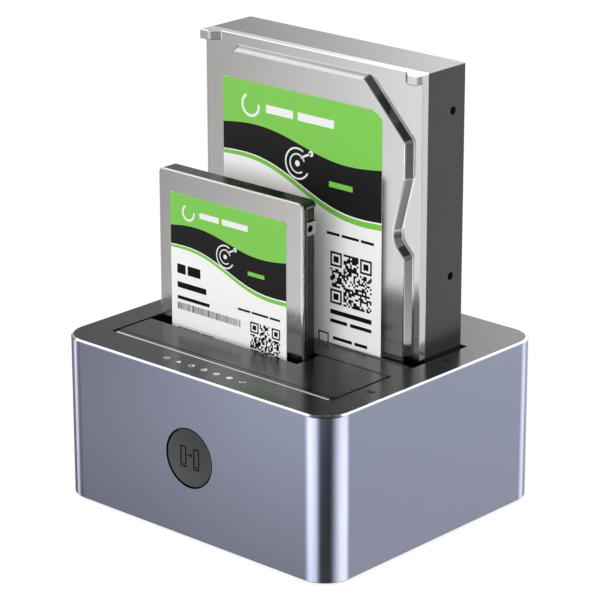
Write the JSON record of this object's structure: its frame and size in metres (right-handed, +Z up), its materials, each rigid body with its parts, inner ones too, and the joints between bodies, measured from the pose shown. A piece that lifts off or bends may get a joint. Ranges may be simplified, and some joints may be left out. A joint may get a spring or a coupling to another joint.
{
  "type": "drive duplicator",
  "caption": "Desktop drive duplicator: aluminium sleeve with two upright drive bays behind sprung flaps, a clone button, and a large and a small drive seated in it.",
  "frame": {"origin": "centre of the footprint, on the surface the rubber feet stand on", "axes": "+X to the right along the front face, +Y from the front face towards the back, +Z up"},
  "size_m": [0.13, 0.115, 0.166],
  "materials": {
    "anodised_sleeve": "blue-grey anodised, fine bead-blast satin",
    "lid_plastic": "dark grey satin",
    "flap_plastic": "dark grey satin",
    "bay_plastic": "black, lightly textured",
    "foot_rubber": "matt",
    "brass_posts": "turned",
    "fixings": "zinc plated",
    "spring_steel": "drawn wire",
    "bright_steel": "bright",
    "circuit_board": "solder-masked board",
    "socket_plastic": "black moulding",
    "button_cap": "dark grey, fine turned",
    "light_guides": "clear, frosted",
    "switch_plastic": "black",
    "drive_lid": "satin pressed lid",
    "drive_casting": "dark coated casting",
    "small_casting": "cast and machined",
    "drive_label": "printed paper label"
  },
  "bodies": {
    "dock": {"shell": "anodised_sleeve", "top_plate": "lid_plastic", "front_bay_well": "bay_plastic", "rear_bay_well": "bay_plastic", "base_plate": "bay_plastic", "rubber_feet": "foot_rubber", "tie_posts": "brass_posts", "base_screws": "fixings", "main_board": "circuit_board", "board_standoffs": "brass_posts", "board_screws": "fixings", "front_sata_socket": "socket_plastic", "rear_sata_socket": "socket_plastic", "front_flap_pin": "fixings", "rear_flap_pin": "fixings", "front_flap_spring": "spring_steel", "rear_flap_spring": "spring_steel", "button_guide": "bay_plastic", "clone_switch": "socket_plastic", "clone_switch_board": "circuit_board", "indicator_light_guides": "light_guides", "indicator_lights": "light_guides", "indicator_board": "circuit_board", "indicator_posts": "bay_plastic", "dc_power_socket": "socket_plastic", "usb_socket": "bright_steel", "power_switch_body": "socket_plastic"},
    "front_flap": {"front_flap": "flap_plastic"},
    "rear_flap": {"rear_flap": "flap_plastic"},
    "clone_button": {"clone_button": "button_cap"},
    "power_rocker": {"power_rocker": "switch_plastic"},
    "large_drive": {"large_drive_base": "drive_casting", "large_drive_cover": "drive_lid", "large_drive_label": "drive_label", "large_drive_board": "circuit_board", "large_drive_board_screws": "fixings", "large_drive_hub": "bright_steel", "large_drive_plug": "socket_plastic"},
    "small_drive": {"small_drive_base": "small_casting", "small_drive_cover": "drive_lid", "small_drive_label": "drive_label", "small_drive_board": "circuit_board", "small_drive_board_screws": "fixings", "small_drive_hub": "bright_steel", "small_drive_plug": "socket_plastic"}
  },
  "joints": [
    {"name": "front_flap_hinge", "type": "hinge", "parent": "dock", "child": "front_flap", "pos_m": [0, -0.0409, 0.0608], "axis": [-1, 0, 0], "range_deg": [0, 86], "stiffness_Nm_per_rad": 0.004, "springref_deg": -85.94},
    {"name": "rear_flap_hinge", "type": "hinge", "parent": "dock", "child": "rear_flap", "pos_m": [0, 0.0006, 0.0608], "axis": [-1, 0, 0], "range_deg": [0, 2], "stiffness_Nm_per_rad": 0.004, "springref_deg": -175.33},
    {"name": "clone_button_press", "type": "slide", "parent": "dock", "child": "clone_button", "axis": [0, 1, 0], "range_m": [0, 0.001], "stiffness_N_per_m": 800, "springref_m": -0.001},
    {"name": "power_rocker_tilt", "type": "hinge", "parent": "dock", "child": "power_rocker", "pos_m": [-0.036, 0.05121, 0.0312], "axis": [-1, 0, 0], "range_deg": [0, 14]},
    {"name": "large_drive_lift", "type": "slide", "parent": "dock", "child": "large_drive", "axis": [0, 0, 1], "range_m": [0, 0.05]},
    {"name": "small_drive_lift", "type": "slide", "parent": "dock", "child": "small_drive", "axis": [0, 0, 1], "range_m": [0, 0.05]}
  ]
}
